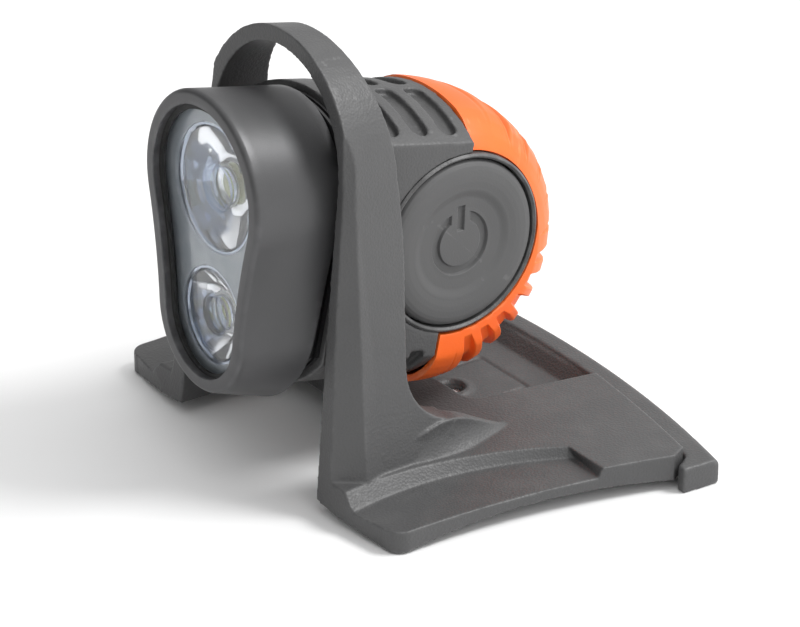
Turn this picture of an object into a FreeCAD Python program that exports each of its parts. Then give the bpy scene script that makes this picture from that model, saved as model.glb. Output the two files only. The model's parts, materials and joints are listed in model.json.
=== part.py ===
import FreeCAD, Part
import math
import os

# Compact headlamp in a stirrup mount.  Millimetres, +Z up.
# The lamp looks along -Y and its power button faces +X.
# The origin is at the middle of the bottom of the whole object, on the surface that it stands on.
V = FreeCAD.Vector
AXIS_X, AXIS_Y, AXIS_Z = V(1, 0, 0), V(0, 1, 0), V(0, 0, 1)
BIG = 200.0

# Where the lamp sits.  Lamp parts are drawn about the button's axis, with y along the lamp's body.
button_axis_y = 3.6
button_axis_z = 33.7
body_pitch = 12.2        # the lamp's front is tipped up by this angle
face_rake = 9.8          # the lamp's front face leans forward of square by this angle

# Bezel and front
face_y = -36.5           # distance of the front face from the button's axis, square to the face
bezel_back_y = -23.5
upper_centre_z, upper_r = 10.85, 15.0
lower_centre_z, lower_r = -9.17, 11.3
waist_r = 95.0
rear_upper, rear_lower = (4.6, 15.0), (-12.9, 14.3)   # centre height and radius of the two circles
rear_waist_r = 600.0
lip_width = 2.2
lip_depth = 1.1
bezel_wall = 1.6
seal_depth = 0.5
window_depth = 0.9
plate_depth = 1.0
board_y = -28.8
board_depth = 1.2
board_screw_x, board_screw_z = 8.0, 0.3
large_optic_r, small_optic_r = 9.8, 7.5
large_eye_r, small_eye_r = 3.5, 3.1
large_led_side, small_led_side = 3.5, 3.0

# Body
body_front_y = -21.5
half_width = 14.25
crease_z = 15.6
top_arc_r = 26.0
wall = 1.7
bottom_corner_z = -17.8
bottom_crown_z = -24.8
barrel_centre_y, barrel_centre_z = -0.5, -2.75
barrel_r = 22.8
barrel_side_r = 15.6
cell_axis_z = -1.5
cell_r = 7.9
cap_front_y = -0.8
cap_wall = 1.6
button_r = 13.0
frame_r = 14.0
slot_centres_y = (-4.3, -9.5, -14.7)
slot_width = 3.0
top_slot_reach = 12.5
low_slot_start = 16.9      # the low slots run out onto the body's sides at this depth

# Bracket
hoop_inner_r = 16.3
foot_inner_x = 18.65
foot_outer_x = 24.7
arch_centre_z = 49.0
hoop_front_r, hoop_rear_r = 20.4, 16.5   # outside of the hoop at the two planes below
hoop_front_y, hoop_rear_y = -26.0, -6.0
hoop_top_z = 68.4
pivot_y, pivot_z = -15.0, 33.7
pin_r = 2.0
pin_clearance = 0.05
wing_top_z = 5.7
shelf_z = 4.0
arch_r, arch_crest_y, arch_crest_z = 160.0, 4.0, 2.36
across_crest_z = 2.54
rear_under_z = 1.4

# Shoe
shoe_half_width = 46.0
shoe_plate_z = 1.1
lip_top_z = 4.1
screw_hole_r = 1.75
screw_hole_y = 12.6

rail_x = 26.0


def box(x0, x1, y0, y1, z0, z1):
    return Part.makeBox(x1 - x0, y1 - y0, z1 - z0, V(x0, y0, z0))


def rod(r, length, start, axis):
    return Part.makeCylinder(r, length, start, axis)


def tube(r_out, r_in, length, start, axis):
    return rod(r_out, length, start, axis).cut(rod(r_in, length, start, axis))


def outline(start, *steps):
    """Closed wire: a step of one point is a line, a step of two points is an arc through the first."""
    edges = []
    here = start
    for step in steps:
        if len(step) == 2:
            edges.append(Part.Arc(here, step[0], step[1]).toShape())
        else:
            edges.append(Part.LineSegment(here, step[0]).toShape())
        here = step[-1]
    if here.distanceToPoint(start) > 1e-6:
        edges.append(Part.LineSegment(here, start).toShape())
    return Part.Wire(Part.__sortEdges__(edges))


def slab(wire, direction):
    return Part.Face(wire).extrude(direction)


def revolve(points, origin, axis):
    wire = Part.makePolygon(points + [points[0]])
    return Part.Face(wire).revolve(origin, axis, 360)


def mirrored(shape):
    return shape.mirror(V(0, 0, 0), AXIS_X)


def both(shape):
    return shape.fuse(mirrored(shape))


def pair(shape):
    return Part.makeCompound([shape, mirrored(shape)])


def turned(shape, angle, centre=V(0, 0, 0)):
    out = shape.copy()
    out.rotate(centre, AXIS_X, angle)
    return out


def place_lamp(shape):
    """From the lamp's own frame to the object's frame."""
    out = turned(shape, -body_pitch)
    out.translate(V(0, button_axis_y, button_axis_z))
    return out


def from_face(shape):
    """From the raked front face's frame to the lamp's frame."""
    return turned(shape, face_rake)


# ---------------------------------------------------------------- front of the lamp


def pear_points(upper, lower, waist, inset):
    """Tangent points of a pear outline: upper circle, lower circle and the hollow waist arc between them."""
    ru, rl = upper[1] - inset, lower[1] - inset
    rw = waist + inset
    gap = upper[0] - lower[0]
    a, b = ru + rw, rl + rw
    z = (a * a - b * b + gap * gap) / (2 * gap)
    x = math.sqrt(a * a - z * z)
    centre = V(x, 0, upper[0] - z)
    up = V(0, 0, upper[0])
    low = V(0, 0, lower[0])
    p_up = up + (centre - up).normalize() * ru
    p_low = low + (centre - low).normalize() * rl
    middle = (p_up + p_low) * 0.5
    return p_up, centre + (middle - centre).normalize() * rw, p_low


def pear_outline(upper, lower, waist, inset, y, drop=0.0):
    p_up, hollow, p_low = pear_points(upper, lower, waist, inset)
    at = lambda p, side=1: V(side * p.x, y, p.z - drop)
    top = V(0, y, upper[0] + upper[1] - inset - drop)
    bottom = V(0, y, lower[0] - lower[1] + inset - drop)
    return outline(at(p_up), (at(hollow), at(p_low)), (bottom, at(p_low, -1)),
                   (at(hollow, -1), at(p_up, -1)), (top, at(p_up)))


front_upper, front_lower = (upper_centre_z, upper_r), (lower_centre_z, lower_r)


def pear(inset, y):
    """Pear-shaped wire parallel to the front face, inset from the bezel's outside at that depth."""
    drop = (y - face_y) * math.tan(math.radians(face_rake))
    return pear_outline(front_upper, front_lower, waist_r, inset, y, drop)


def rear_pear(inset, y):
    """Fuller outline that the bezel has at its back, square to the body."""
    return pear_outline(rear_upper, rear_lower, rear_waist_r, inset, y)


def pear_layer(inset, y, depth):
    return slab(pear(inset, y), V(0, depth, 0))


def body_direction(length):
    """A step of this length along the lamp's body, told in the front face's frame."""
    rake = math.radians(face_rake)
    return V(0, length * math.cos(rake), -length * math.sin(rake))


def make_bezel():
    outside = Part.makeLoft([from_face(pear(0, face_y)), rear_pear(0, bezel_back_y)], True, True)
    hollow_front = from_face(pear(bezel_wall, face_y + lip_depth))
    inside = Part.makeLoft([hollow_front, rear_pear(bezel_wall, bezel_back_y + 0.01)], True, True)
    opening = from_face(pear_layer(lip_width, face_y - 0.1, 5))
    shell = outside.cut(inside).cut(opening)
    return shell.makeFillet(0.8, [e for e in shell.Edges if on_front_rim(e)])


def on_front_rim(edge):
    """True for the outer edges of the bezel's front face."""
    flat = turned(edge, -face_rake)
    points = flat.discretize(9)
    if max(abs(p.y - face_y) for p in points) > 0.01:
        return False
    lip = Part.Face(pear(lip_width / 2, face_y))
    return not lip.isInside(points[4], 0.01, True)


def make_window_seal():
    y = face_y + lip_depth
    return pear_layer(bezel_wall + 0.15, y, seal_depth).cut(pear_layer(lip_width + 0.7, y, seal_depth))


def make_window():
    return pear_layer(bezel_wall + 0.15, face_y + lip_depth + seal_depth, window_depth)


plate_y = face_y + lip_depth + seal_depth + window_depth + 0.05


def make_reflector_plate():
    plate = pear_layer(bezel_wall + 0.2, plate_y, plate_depth)
    for z, r in ((upper_centre_z, large_optic_r), (lower_centre_z, small_optic_r)):
        plate = plate.cut(rod(r + 0.05, plate_depth, V(0, plate_y, z), AXIS_Y))
    return plate


def make_reflector(r, z):
    """Thin bowl with a round throat over the light source."""
    front, back = plate_y + 0.1, board_y - 0.3
    throat, skin, steps = 3.4, 0.6, 8
    outer, inner = [], []
    for i in range(steps + 1):
        t = i / steps
        radius = throat + skin + (r - throat - skin) * math.sqrt(t)
        y = back + (front - back) * t
        outer.append(V(0, y, z + radius))
        inner.append(V(0, y, z + radius - skin))
    return revolve(outer + inner[::-1], V(0, 0, z), AXIS_Y)


def make_optic(r, eye_r, led_side, z):
    """Clear collimator: wide front, eye sunk in the middle, cup over the light source at the back."""
    front, back, cup = plate_y + 0.3, board_y - 0.3, board_y - 2.3
    cup_r = led_side * 0.75
    eye_depth = 1.5
    points = [V(0, cup, z), V(0, cup, z + cup_r), V(0, back, z + cup_r), V(0, back, z + 3.2),
              V(0, front, z + r - 1.1),
              V(0, front, z + eye_r), V(0, front + eye_depth, z + eye_r * 0.92), V(0, front + eye_depth, z)]
    return revolve(points, V(0, 0, z), AXIS_Y)


def make_led(side, z):
    base = box(-side / 2, side / 2, board_y - 0.7, board_y, z - side / 2, z + side / 2)
    dome_r = side * 0.36
    dome_y = board_y - 0.7
    dome = Part.makeSphere(dome_r, V(0, dome_y, z)).cut(box(-5, 5, dome_y, board_y + 5, z - 5, z + 5))
    return base.fuse(dome)


def make_led_board():
    board = pear_layer(bezel_wall + 0.4, board_y, board_depth)
    for x in (-board_screw_x, board_screw_x):
        board = board.cut(rod(1.1, board_depth, V(x, board_y, board_screw_z), AXIS_Y))
    return board


def make_board_screws():
    """Two screws that hold the light board to the heat sink."""
    screws = []
    for x in (-board_screw_x, board_screw_x):
        head = rod(1.8, 1.0, V(x, board_y - 1.0, board_screw_z), AXIS_Y)
        screws.append(head.fuse(rod(0.95, 3.6, V(x, board_y, board_screw_z), AXIS_Y)))
    return Part.makeCompound([from_face(s) for s in screws])


def make_heat_sink():
    """Aluminium block behind the light board; it joins the bezel to the body."""
    start = board_y + board_depth
    block = from_face(slab(pear(bezel_wall + 0.5, start), body_direction(30)))
    block = block.cut(box(-BIG, BIG, bezel_back_y + 0.2, BIG, -BIG, BIG))
    neck = body_section(3.9, bezel_back_y - 3.5, 7.2)
    front_cut = from_face(box(-BIG, BIG, start - BIG, start, -BIG, BIG))
    block = block.fuse(neck).cut(front_cut)
    for x in (-board_screw_x, board_screw_x):
        block = block.cut(from_face(rod(1.0, 2.6, V(x, start, board_screw_z), AXIS_Y)))
    wire_way = rod(2.0, 30, V(0, -40, -3), AXIS_Y)
    return block.cut(wire_way)


# ---------------------------------------------------------------- body of the lamp


def body_section(inset, y, length):
    """Slab of the body's cross-section: flat sides, shallow arc on top, deeper arc below."""
    w = half_width - inset
    top_crown = crease_z + top_arc_r - math.sqrt(top_arc_r ** 2 - half_width ** 2) - inset
    low_corner = bottom_corner_z + inset * 0.8
    wire = outline(V(w, y, crease_z - inset * 0.8), (V(w, y, low_corner),),
                   (V(0, y, bottom_crown_z + inset), V(-w, y, low_corner)),
                   (V(-w, y, crease_z - inset * 0.8),), (V(0, y, top_crown), V(w, y, crease_z - inset * 0.8)))
    return slab(wire, V(0, length, 0))


def barrel(inset):
    """Rounded rear of the lamp: a flat crown and full shoulders, turned about a line along X."""
    centre = V(0, barrel_centre_y, barrel_centre_z)
    w = half_width - inset
    r = barrel_r - inset
    side = barrel_side_r - inset * 0.9
    at = lambda x, radius: V(x, barrel_centre_y, barrel_centre_z + radius)
    crown_x, crown_drop = 8.0 - 0.3 * inset, 1.1
    bend_x, bend_drop = 12.0 - 0.7 * inset, 3.7
    wire = outline(at(-w, 0), (at(-w, side),), (at(-bend_x, r - bend_drop), at(-crown_x, r - crown_drop)),
                   (at(0, r), at(crown_x, r - crown_drop)), (at(bend_x, r - bend_drop), at(w, side)), (at(w, 0),))
    return Part.Face(wire).revolve(centre, AXIS_X, 360)


def front_half(shape, y):
    return shape.cut(box(-BIG, BIG, y, BIG, -BIG, BIG))


def rear_half(shape, y):
    return shape.cut(box(-BIG, BIG, -BIG, y, -BIG, BIG))


def slot_cutter(y, side):
    """Curved slot cut around the top or the bottom of the body, with a rib left across its middle."""
    reach, start = (top_slot_reach, 0) if side > 0 else (half_width + 0.4, low_slot_start)
    zone = box(-reach, -0.9, y - slot_width / 2, y + slot_width / 2, start, 30)
    zone = zone.makeFillet(1.3, [e for e in zone.Edges if e.BoundBox.ZLength > 12])
    zone = zone.fuse(mirrored(zone))
    if side < 0:
        zone = zone.mirror(V(0, 0, 0), AXIS_Z)
    skin = body_section(-2, y - 5, 10).cut(body_section(1.1, y - 6, 12))
    return zone.common(skin)


def make_body_shell():
    front = body_section(0, body_front_y, cap_front_y - body_front_y)
    core = rear_half(barrel(cap_wall + 0.15), cap_front_y - 0.01)
    shell = front.fuse(core)
    boss = rod(frame_r + 0.05, 2 * half_width, V(-half_width, 0, 0), AXIS_X)
    shell = shell.fuse(boss)
    for y in slot_centres_y:
        shell = shell.cut(slot_cutter(y, 1)).cut(slot_cutter(y, -1))
    hollow = front_half(body_section(wall + 1.6, body_front_y - 1, 40), 4)
    hollow = hollow.fuse(barrel(cap_wall + 0.15 + wall + 1.4).common(box(-BIG, BIG, -5, BIG, -BIG, BIG)))
    hollow = hollow.cut(box(8.9, BIG, -BIG, BIG, -BIG, BIG).cut(rod(4.6, 20, V(0, 0, 0), AXIS_X)))
    shell = shell.cut(hollow)
    neck_socket = body_section(3.35, body_front_y - 1, 5.0)
    shell = shell.cut(neck_socket)
    shell = shell.cut(rod(frame_r + 0.05, 5, V(half_width - 3.0, 0, 0), AXIS_X))
    shell = shell.cut(rod(4.6, 6, V(8, 0, 0), AXIS_X))
    shell = shell.cut(rod(9.4, 30, V(0, 8, cell_axis_z), AXIS_Y))
    for side in (1, -1):
        shell = shell.cut(rod(pin_r, 12, V(side * 12.2, pin_lamp.y, pin_lamp.z), V(side, 0, 0)))
    return shell


def make_body_seal():
    """Face seal between the heat sink's neck and the body."""
    return body_section(4.2, body_front_y + 2.3, 0.9).cut(body_section(5.6, body_front_y + 2.0, 3))


def make_neck_ring():
    ring = body_section(1.0, bezel_back_y + 0.2, body_front_y - bezel_back_y - 0.25)
    ring = ring.cut(body_section(3.3, bezel_back_y - 1, 10))
    groove = body_section(-1, -22.8, 0.6).cut(body_section(1.6, -24, 4))
    return ring.cut(groove)


def make_button_frame():
    ring = tube(frame_r, button_r + 0.3, 3.2, V(half_width - 2.95, 0, 0), AXIS_X)
    return ring.makeChamfer(0.3, [e for e in ring.Edges if e.BoundBox.XMin > half_width])


button_face_x = half_width + 0.55


def make_button():
    """Dished rubber cap with a power sign sunk in its face and a plunger behind."""
    back = half_width - 1.9
    points = [V(back, 0, 0), V(back, 0, button_r), V(button_face_x - 0.9, 0, button_r),
              V(button_face_x - 0.25, 0, button_r - 0.6), V(button_face_x, 0, button_r - 2.0),
              V(button_face_x - 0.1, 0, button_r - 4.6), V(button_face_x - 0.75, 0, button_r - 6.6),
              V(button_face_x - 0.75, 0, 0)]
    cap = revolve(points, V(0, 0, 0), AXIS_X)
    depth = 0.45
    floor = button_face_x - 0.75 - depth
    ring = tube(5.0, 3.7, 3, V(floor, 0, 0), AXIS_X).cut(box(0, 30, -1.7, 1.7, 0, 10))
    bar = box(floor, 30, -0.62, 0.62, 1.9, 5.8)
    plunger = rod(1.8, 1.9, V(back - 1.2, 0, 0), AXIS_X)
    return turned(cap.cut(ring).cut(bar), face_rake).fuse(plunger)


def make_switch():
    case = box(8.85, 10.1, -3.0, 3.0, -3.0, 3.0)
    return case.fuse(rod(1.6, 0.25, V(10.05, 0, 0), AXIS_X))


def make_switch_board():
    return box(8.0, 8.8, -6.0, 6.0, -3.9, 4.5)


def make_battery():
    cell = rod(cell_r, 29.6, V(0, -14.2, cell_axis_z), AXIS_Y)
    return cell.fuse(rod(2.8, 0.8, V(0, -14.9, cell_axis_z), AXIS_Y))


def make_cell_cradle():
    """Open trough that carries the cell, with a divider in front of it."""
    trough = tube(cell_r + 1.0, cell_r + 0.15, 26, V(0, -15.2, cell_axis_z), AXIS_Y)
    trough = trough.cut(box(-20, 20, -20, 20, cell_axis_z - 3.0, 20))
    divider = tube(cell_r + 1.0, 3.2, 0.8, V(0, -15.2, cell_axis_z), AXIS_Y)
    return trough.fuse(divider)


def make_contact(y, direction, turns=3):
    """Flat conical contact spring, drawn as rings joined by a post."""
    rings = []
    for i in range(turns):
        place = V(0, y + direction * 0.42 * i, cell_axis_z)
        rings.append(tube(2.6 - 0.5 * i, 2.1 - 0.5 * i, 0.45, place, AXIS_Y))
    out = rings[0]
    for ring in rings[1:]:
        out = out.fuse(ring)
    return out


def make_driver_board():
    board = box(-9.0, 7.4, -13.5, 3.4, 9.8, 10.8)
    for x, y, sx, sy, h in ((-6, -9, 4, 4, 1.2), (1.5, -8, 5, 5, 1.6), (-5, 0, 3, 5, 1.0), (3, 1, 2.5, 2.5, 1.9)):
        board = board.fuse(box(x - sx / 2, x + sx / 2, y - sy / 2, y + sy / 2, 10.7, 10.8 + h))
    return board


def cap_zone(shape):
    """Keeps the part of a shape that the rear cap covers: behind its front edge, outside the round side faces."""
    sides = rod(frame_r + 0.3, 2 * BIG, V(-BIG, 0, 0), AXIS_X).cut(box(-9.5, 9.5, -BIG, BIG, -BIG, BIG))
    return rear_half(shape, cap_front_y + 0.15).cut(sides)


def make_rear_cap():
    """Fluted grip cap that wraps the rounded rear of the body."""
    cap = cap_zone(barrel(0).cut(barrel(cap_wall)))
    flutes = 11
    for i in range(flutes):
        angle = -72 + 144 * i / (flutes - 1)
        flute = rod(3.2, 15.0, V(-7.5, barrel_centre_y + barrel_r + 2.2, barrel_centre_z), AXIS_X)
        flute = flute.makeFillet(2.4, flute.Edges)
        cap = cap.cut(turned(flute, angle, V(0, barrel_centre_y, barrel_centre_z)))
    return cap


def make_cap_plug():
    """Insulating plug inside the cap; it fills the cell door and carries the rear contact."""
    plug = rod(8.9, 2.7, V(0, 17.0, cell_axis_z), AXIS_Y).common(barrel(cap_wall + 0.02))
    post = rod(6.5, 6.0, V(0, 17.0, cell_axis_z), AXIS_Y).common(barrel(cap_wall + 0.02))
    return plug.fuse(post)


def make_cap_seal():
    return Part.makeTorus(8.7, 0.45, V(0, 16.5, cell_axis_z), AXIS_Y)


# ---------------------------------------------------------------- pivot

pin_lamp = turned(Part.Vertex(0, pivot_y - button_axis_y, pivot_z - button_axis_z), body_pitch).Point


def make_pivot_pins():
    return pair(rod(pin_r, 6.4, V(12.2, pin_lamp.y, pin_lamp.z), AXIS_X))


def make_friction_washers():
    return pair(tube(4.6, pin_r + 0.05, 2.2, V(half_width + 0.02, pin_lamp.y, pin_lamp.z), AXIS_X))


# ---------------------------------------------------------------- bracket


def stirrup_outline(y, hoop_r):
    """Stirrup seen from the front: two legs that spread towards the foot, and a round hoop."""
    zc = arch_centre_z
    at = lambda x, z: V(x, y, z)
    return outline(at(foot_inner_x, 0), (at(foot_outer_x, 0),), (at(hoop_r, zc),),
                   (at(0, zc + hoop_r), at(-hoop_r, zc)), (at(-foot_outer_x, 0),), (at(-foot_inner_x, 0),),
                   (at(-hoop_inner_r, zc),), (at(0, zc + hoop_inner_r), at(hoop_inner_r, zc)))


def stirrup_front():
    front, rear = stirrup_outline(hoop_front_y, hoop_front_r), stirrup_outline(hoop_rear_y, hoop_rear_r)
    hoop = Part.makeLoft([front, rear], True, True)
    legs = slab(stirrup_outline(hoop_rear_y, hoop_rear_r), V(0, 10, 0))
    return hoop.fuse(legs)


def side_view(wire):
    solid = slab(wire, V(100, 0, 0))
    solid.translate(V(-50, 0, 0))
    return solid


def stirrup_side():
    """Stirrup seen from the side: leaning front edge, tapering rear edge that sweeps into the wing."""
    top = hoop_top_z + 1
    at = lambda y, z: V(0, y, z)
    wire = outline(at(-25.6, 0), (at(-22.35, 28.0), at(-19.75, 48.0)), (at(-17.85, top),), (at(-12.9, top),),
                   (at(-9.9, 50.0), at(-10.5, 31.0)), (at(-11.4, 20.0),),
                   (at(-9.6, 14.3), at(-4.0, 10.7)), (at(-4.0, 0),))
    return side_view(wire)


def leg_corner(corner, ridge, heel, front_y):
    """Leg's outer front corner at one height: the part to keep as a blunt ridge, and the part to cut away."""
    inner_x = 19.5 if corner[0] > 20 else 16.9
    keep = [corner, ridge, heel, (inner_x, heel[1]), (inner_x, corner[1])]
    away = [corner, ridge, (ridge[0] + 6, ridge[1]), (ridge[0] + 6, front_y), (corner[0], front_y)]
    return keep, away


def leg_ridge():
    """Facets down the outer front corner of a leg: the ridge they meet in, and the space in front of them."""
    low = leg_corner((22.15, -25.36), (25.48, -20.85), (24.48, -17.14), -30.0)
    high = leg_corner((17.04, -18.7), (17.73, -17.77), (17.19, -15.79), -24.0)
    keep, away = [both(loft_up(below, above)) for below, above in zip(low, high)]
    return keep.common(box(-BIG, BIG, -BIG, BIG, 0, arch_centre_z)), away


def loft_up(below, above):
    loops = [Part.makePolygon([V(x, y, z) for x, y in corners + corners[:1]])
             for corners, z in ((below, 2.0), (above, 57.0))]
    return Part.makeLoft(loops, True, True)


def wing_plan():
    """Outline of the right wing from above, to the middle line."""
    at = lambda x, y: V(x, y, 0)
    x = foot_inner_x
    return outline(at(0, -6.0), (at(x - 2, -6.0),), (at(x - 0.6, -6.6), at(x, -8.0)),
                   (at(x, -25.4),), (at(27.2, -25.0), at(33.4, -24.0)), (at(35.8, -23.2), at(36.7, -21.0)),
                   (at(38.7, 0.6), at(43.6, 21.4)), (at(42.2, 24.2),), (at(29.5, 26.7), at(15.6, 28.7)),
                   (at(12.3, 10.4),), (at(11.4, 8.2), at(9.2, 7.3)), (at(0, 7.2),))


def wing_side():
    """Wing seen from the side: thin front, rising to the flat rear, arched below."""
    at = lambda y, z: V(0, y, z)
    arch = lambda y: arch_crest_z - (y - arch_crest_y) ** 2 / (2 * arch_r)
    front, rear = -25.65, 40.0
    wire = outline(at(front, arch(front)), (at(-24.88, 6.0),), (at(-2, wing_top_z),), (at(rear, wing_top_z),),
                   (at(rear, rear_under_z),), (at(21.5, rear_under_z),),
                   (at(arch_crest_y, arch_crest_z), at(front, arch(front))))
    return side_view(wire)


def shelf_cutter():
    """Space above the low outer shelf of a wing; its inner wall is the sloping step."""
    def loop(z, shift):
        at = lambda x, y: V(x - shift, y - shift * 0.3, z)
        out = lambda x, y: V(x, y, z)
        return outline(at(28.9, -30.0), (at(26.9, -9.0), at(33.6, 10.8)), (at(42.6, 9.6 + shift),),
                       (out(60, 9.6),), (out(60, -30.0),))
    lower, upper = loop(shelf_z, 0.0), loop(shelf_z + 3.0, 2.6)
    cutter = Part.makeLoft([lower, upper], True, True)
    tilt = FreeCAD.Placement(V(0, 0, 0), FreeCAD.Rotation(AXIS_X, 0.9))
    cutter.Placement = tilt
    return cutter


# Sections of the root flare: y, inner foot, inner crest, outer crest, outer foot, crest height
flare_sections = (
    (-17.0, 19.2, 19.6, 23.75, 24.3, 8.95),
    (-10.0, 19.2, 19.6, 23.45, 25.0, 9.9),
    (-4.0, 19.2, 19.6, 23.1, 25.8, 10.7),
    (0.4, 18.0, 20.2, 22.2, 26.2, 9.0),
    (4.4, 17.2, 20.6, 21.6, 26.0, 6.9),
    (8.6, 17.6, 20.9, 21.1, 25.2, 5.3),
)
flare_foot_z = 5.0


def root_flare():
    """Steep hollow sweep from the leg's outer side to the wing; behind the leg it sinks into the wing."""
    wires = []
    for y, foot_in, crest_in, crest_out, foot_out, top in flare_sections:
        at = lambda x, z: V(x, y, z)
        low = flare_foot_z + 0.3 * (top - flare_foot_z)
        wires.append(outline(at(foot_in, 3), (at(foot_in, flare_foot_z),),
                             (at(crest_in - 0.3 * (crest_in - foot_in), low), at(crest_in, top)),
                             (at(crest_out, top),),
                             (at(crest_out + 0.3 * (foot_out - crest_out), low), at(foot_out, flare_foot_z)),
                             (at(foot_out, 3),)))
    return Part.makeLoft(wires, True, False)


def make_bracket():
    ridge, away = leg_ridge()
    stirrup = stirrup_front().common(stirrup_side()).cut(away).fuse(ridge)
    wing = slab(wing_plan(), V(0, 0, 12)).common(wing_side()).cut(shelf_cutter())
    under = side_view(outline(V(0, -40, -5), (V(0, -40, arch_crest_z - 44 ** 2 / (2 * arch_r)),),
                              (V(0, arch_crest_y, arch_crest_z), V(0, 40, arch_crest_z - 36 ** 2 / (2 * arch_r))),
                              (V(0, 40, -5),)))
    across = slab(outline(V(-36.8, -50, -0.1), (V(0, -50, across_crest_z), V(36.8, -50, -0.1))), V(0, 100, 0))
    under = under.fuse(across)
    half = wing.fuse(root_flare())
    whole = stirrup.fuse(both(half)).cut(under)
    groove = rail(0.3, 4.8, 60)
    whole = whole.cut(both(groove))
    for side in (1, -1):
        whole = whole.cut(rod(pin_r + pin_clearance, 3.0, V(side * 15.8, pivot_y, pivot_z), V(side, 0, 0)))
    return whole.removeSplitter()


# ---------------------------------------------------------------- shoe


def rail(gap, y0, y1):
    """Dovetail guide rail under the right wing; a gap makes the groove that it runs in."""
    at = lambda x, z: V(rail_x + x, y0, z)
    top = 2.6 + gap
    wire = outline(at(-1.6 - gap, 0.9), (at(1.6 + gap, 0.9),), (at(2.4 + gap, top),), (at(-2.4 - gap, top),))
    return slab(wire, V(0, y1 - y0, 0))


def make_shoe():
    at = lambda x, y: V(x, y, 0)
    w = shoe_half_width
    rim = outline(at(w, 28.2), (at(0, 34.0), at(-w, 28.2)), (at(-w + 0.4, 21.8),), (at(-w + 2.0, 21.8),),
                  (at(-42.3, 24.6),), (at(0, 30.2), at(42.3, 24.6)), (at(w - 2.0, 21.8),), (at(w - 0.4, 21.8),))
    lip = slab(rim, V(0, 0, lip_top_z))
    top_edges = [e for e in lip.Edges if e.BoundBox.ZMin > lip_top_z - 0.1 and e.BoundBox.YMax > 33.9]
    lip = lip.makeFillet(1.2, top_edges)
    plate_wire = outline(at(34.0, 26.6), (at(0, 31.0), at(-34.0, 26.6)), (at(-34.0, 5.0),), (at(34.0, 5.0),))
    shoe = lip.fuse(slab(plate_wire, V(0, 0, shoe_plate_z)))
    shoe = shoe.fuse(both(rail(0, 6.0, 25.5)))
    ramp = side_view(outline(V(0, 27.6, 1.0), (V(0, 31.0, 1.0),), (V(0, 31.0, 3.6),), (V(0, 29.6, 3.4),)))
    shoe = shoe.fuse(ramp.common(box(-14.5, 14.5, 0, 40, 0, 10)))
    tongue = box(-6.5, 6.5, 8.4, 23.0, shoe_plate_z - 0.35, 5).cut(box(-5.7, 5.7, 9.2, 22.2, 0, 5))
    shoe = shoe.cut(tongue)
    shoe = shoe.fuse(tube(3.2, 2.2, 0.6, V(0, screw_hole_y, shoe_plate_z - 0.1), AXIS_Z))
    shoe = shoe.cut(rod(screw_hole_r, 5, V(0, screw_hole_y, -1), AXIS_Z))
    return shoe.removeSplitter()


# ---------------------------------------------------------------- write the parts

face_parts = {
    "window_seal": make_window_seal(),
    "front_window": make_window(),
    "reflector_plate": make_reflector_plate(),
    "large_reflector": make_reflector(large_optic_r, upper_centre_z),
    "small_reflector": make_reflector(small_optic_r, lower_centre_z),
    "large_optic": make_optic(large_optic_r, large_eye_r, large_led_side, upper_centre_z),
    "small_optic": make_optic(small_optic_r, small_eye_r, small_led_side, lower_centre_z),
    "large_led": make_led(large_led_side, upper_centre_z),
    "small_led": make_led(small_led_side, lower_centre_z),
    "led_board": make_led_board(),
}
lamp_parts = {
    "bezel": make_bezel(),
    "board_screws": make_board_screws(),
    "heat_sink": make_heat_sink(),
    "neck_ring": make_neck_ring(),
    "body_shell": make_body_shell(),
    "body_seal": make_body_seal(),
    "button_frame": make_button_frame(),
    "power_button": make_button(),
    "tact_switch": make_switch(),
    "switch_board": make_switch_board(),
    "driver_board": make_driver_board(),
    "battery_cell": make_battery(),
    "cell_cradle": make_cell_cradle(),
    "front_contact": make_contact(-15.7, -1),
    "rear_contact": make_contact(16.05, 1, 2),
    "rear_cap": make_rear_cap(),
    "cap_plug": make_cap_plug(),
    "cap_seal": make_cap_seal(),
    "pivot_pins": make_pivot_pins(),
    "friction_washers": make_friction_washers(),
}
parts = {name: place_lamp(from_face(shape)) for name, shape in face_parts.items()}
parts.update({name: place_lamp(shape) for name, shape in lamp_parts.items()})
parts["bracket"] = make_bracket()
parts["mounting_shoe"] = make_shoe()

os.makedirs("parts", exist_ok=True)
whole = FreeCAD.BoundBox()
for name, shape in parts.items():
    shape.exportStep("parts/" + name + ".step")
    whole.add(shape.BoundBox)
    print(name, "solids", len(shape.Solids), "volume", round(shape.Volume, 1), "valid", shape.isValid())
print("box", [round(v, 2) for v in (whole.XMin, whole.XMax, whole.YMin, whole.YMax, whole.ZMin, whole.ZMax)])
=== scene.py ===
import bpy, bmesh, json, math
import numpy as np
from mathutils import Matrix, Vector


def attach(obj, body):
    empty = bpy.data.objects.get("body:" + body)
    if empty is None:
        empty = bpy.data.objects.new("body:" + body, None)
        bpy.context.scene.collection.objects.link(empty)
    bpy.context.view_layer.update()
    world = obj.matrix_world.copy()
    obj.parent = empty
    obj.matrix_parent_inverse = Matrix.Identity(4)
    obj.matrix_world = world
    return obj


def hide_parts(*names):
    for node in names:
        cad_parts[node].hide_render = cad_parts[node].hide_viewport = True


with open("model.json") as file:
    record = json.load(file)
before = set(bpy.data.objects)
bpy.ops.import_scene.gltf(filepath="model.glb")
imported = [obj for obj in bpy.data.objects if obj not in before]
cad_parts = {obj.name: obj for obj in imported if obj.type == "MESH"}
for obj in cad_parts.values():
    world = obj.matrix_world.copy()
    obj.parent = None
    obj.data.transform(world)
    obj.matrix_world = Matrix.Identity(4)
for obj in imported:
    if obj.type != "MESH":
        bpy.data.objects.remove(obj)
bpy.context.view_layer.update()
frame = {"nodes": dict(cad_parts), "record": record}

mm = 0.001
weldGap = 1e-7   # metres; points nearer than this are made one
slack = 1e-6   # allowance for rounding when a value is looked up between two knots
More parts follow.
